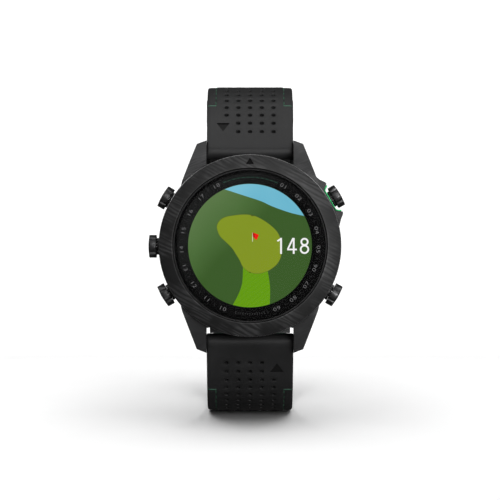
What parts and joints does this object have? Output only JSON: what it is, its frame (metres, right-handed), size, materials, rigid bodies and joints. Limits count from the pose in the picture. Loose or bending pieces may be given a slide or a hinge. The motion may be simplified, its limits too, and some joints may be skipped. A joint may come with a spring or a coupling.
{
  "type": "golf gps watch",
  "caption": "Round multi-button golf GPS wristwatch with a carbon bezel, lit course display, guarded start button and a quick-release perforated rubber strap.",
  "frame": {"origin": "centre of the sensor window's flat face on the back, which rests on the wrist", "axes": "+Z to 12 o'clock, +X to 3 o'clock, the dial faces -Y and the wrist side faces +Y"},
  "size_m": [0.0497, 0.0902, 0.0843],
  "materials": {
    "battery_foil": "laminated foil pouch",
    "black_metal": "black coated metal, satin",
    "black_plastic": "moulded black plastic",
    "black_rubber": "smooth matt moulded rubber",
    "carbon": "carbon-fibre composite, satin, streaked grain",
    "circuit_board": "green solder resist",
    "dial_black": "gloss black printed ring",
    "flex_film": "amber polyimide film",
    "gold_contact": "gold-plated",
    "green_anodised": "green anodised, satin",
    "sapphire": "clear polished watch crystal",
    "screen": "lit colour display",
    "steel": "plain steel",
    "strap_lining": "matt dark green moulded rubber",
    "titanium": "bead-blasted grey metal",
    "window_glass": "dark optical window"
  },
  "bodies": {
    "watch_head": {"back_button_bush": "black_metal", "back_button_spring": "steel", "back_cover": "titanium", "back_cover_gasket": "black_rubber", "back_cover_screw_1": "steel", "back_cover_screw_2": "steel", "back_cover_screw_3": "steel", "back_cover_screw_4": "steel", "battery": "battery_foil", "bezel": "carbon", "bezel_gasket": "black_rubber", "board_shield": "steel", "case_body": "carbon", "charging_contacts": "gold_contact", "crystal": "sapphire", "crystal_gasket": "black_rubber", "dial_ring": "dial_black", "display_flex": "flex_film", "display_frame": "black_plastic", "display_panel": "screen", "down_button_bush": "black_metal", "down_button_spring": "steel", "gps_antenna": "gold_contact", "guard_inlay": "green_anodised", "light_button_bush": "black_metal", "light_button_spring": "steel", "lower_lug_pin": "steel", "main_board": "circuit_board", "optical_sensor": "circuit_board", "sensor_window": "window_glass", "side_key_circuit": "flex_film", "start_button_bush": "black_metal", "start_button_spring": "steel", "up_button_bush": "black_metal", "up_button_spring": "steel", "upper_lug_pin": "steel", "vibration_motor": "steel"},
    "light_button": {"light_button": "black_metal", "light_button_clip": "steel"},
    "up_button": {"up_button": "black_metal", "up_button_clip": "steel"},
    "down_button": {"down_button": "black_metal", "down_button_clip": "steel"},
    "start_button": {"start_button": "black_metal", "start_button_clip": "steel"},
    "back_button": {"back_button": "black_metal", "back_button_clip": "steel"},
    "upper_strap": {"upper_strap": "black_rubber", "upper_strap_lining": "strap_lining", "upper_strap_clip": "black_metal", "fixed_keeper": "black_rubber", "buckle_pin": "steel"},
    "upper_release_latch": {"upper_release_latch": "black_metal"},
    "free_keeper": {"free_keeper": "black_rubber"},
    "buckle_frame": {"buckle_frame": "black_metal"},
    "buckle_tongue": {"buckle_tongue": "black_metal"},
    "lower_strap": {"lower_strap": "black_rubber", "lower_strap_lining": "strap_lining", "lower_strap_clip": "black_metal"},
    "lower_release_latch": {"lower_release_latch": "black_metal"}
  },
  "joints": [
    {"name": "light_button_push", "type": "slide", "parent": "watch_head", "child": "light_button", "axis": [0.866, 0, -0.5], "range_m": [0, 0.00055], "stiffness_N_per_m": 2500, "springref_m": -0.0004, "deforming": ["light_button_spring"]},
    {"name": "up_button_push", "type": "slide", "parent": "watch_head", "child": "up_button", "axis": [1, 0, 0], "range_m": [0, 0.00055], "stiffness_N_per_m": 2500, "springref_m": -0.0004, "deforming": ["up_button_spring"]},
    {"name": "down_button_push", "type": "slide", "parent": "watch_head", "child": "down_button", "axis": [0.866, 0, 0.5], "range_m": [0, 0.00055], "stiffness_N_per_m": 2500, "springref_m": -0.0004, "deforming": ["down_button_spring"]},
    {"name": "start_button_push", "type": "slide", "parent": "watch_head", "child": "start_button", "axis": [-0.866, 0, -0.5], "range_m": [0, 0.00055], "stiffness_N_per_m": 2500, "springref_m": -0.0004, "deforming": ["start_button_spring"]},
    {"name": "back_button_push", "type": "slide", "parent": "watch_head", "child": "back_button", "axis": [-0.866, 0, 0.5], "range_m": [0, 0.00055], "stiffness_N_per_m": 2500, "springref_m": -0.0004, "deforming": ["back_button_spring"]},
    {"name": "upper_strap_hinge", "type": "hinge", "parent": "watch_head", "child": "upper_strap", "pos_m": [0, -0.0032, 0.024], "axis": [1, 0, 0], "range_deg": [-4, 45]},
    {"name": "lower_strap_hinge", "type": "hinge", "parent": "watch_head", "child": "lower_strap", "pos_m": [0, -0.0032, -0.024], "axis": [-1, 0, 0], "range_deg": [-4, 45]},
    {"name": "buckle_hinge", "type": "hinge", "parent": "upper_strap", "child": "buckle_frame", "pos_m": [0, 0.05637, 0.02795], "axis": [1, 0, 0], "range_deg": [-15, 60]},
    {"name": "tongue_hinge", "type": "hinge", "parent": "buckle_frame", "child": "buckle_tongue", "pos_m": [0, 0.05637, 0.02795], "axis": [1, 0, 0], "range_deg": [0, 40]},
    {"name": "free_keeper_slide", "type": "slide", "parent": "upper_strap", "child": "free_keeper", "axis": [0, 0.9057, -0.4239], "range_m": [0, 0.0055]},
    {"name": "upper_release_slide", "type": "slide", "parent": "upper_strap", "child": "upper_release_latch", "axis": [0, 0.6293, 0.7771], "range_m": [0, 0.002], "stiffness_N_per_m": 500, "springref_m": -0.001},
    {"name": "lower_release_slide", "type": "slide", "parent": "lower_strap", "child": "lower_release_latch", "axis": [0, 0.6293, -0.7771], "range_m": [0, 0.002], "stiffness_N_per_m": 500, "springref_m": -0.001}
  ]
}
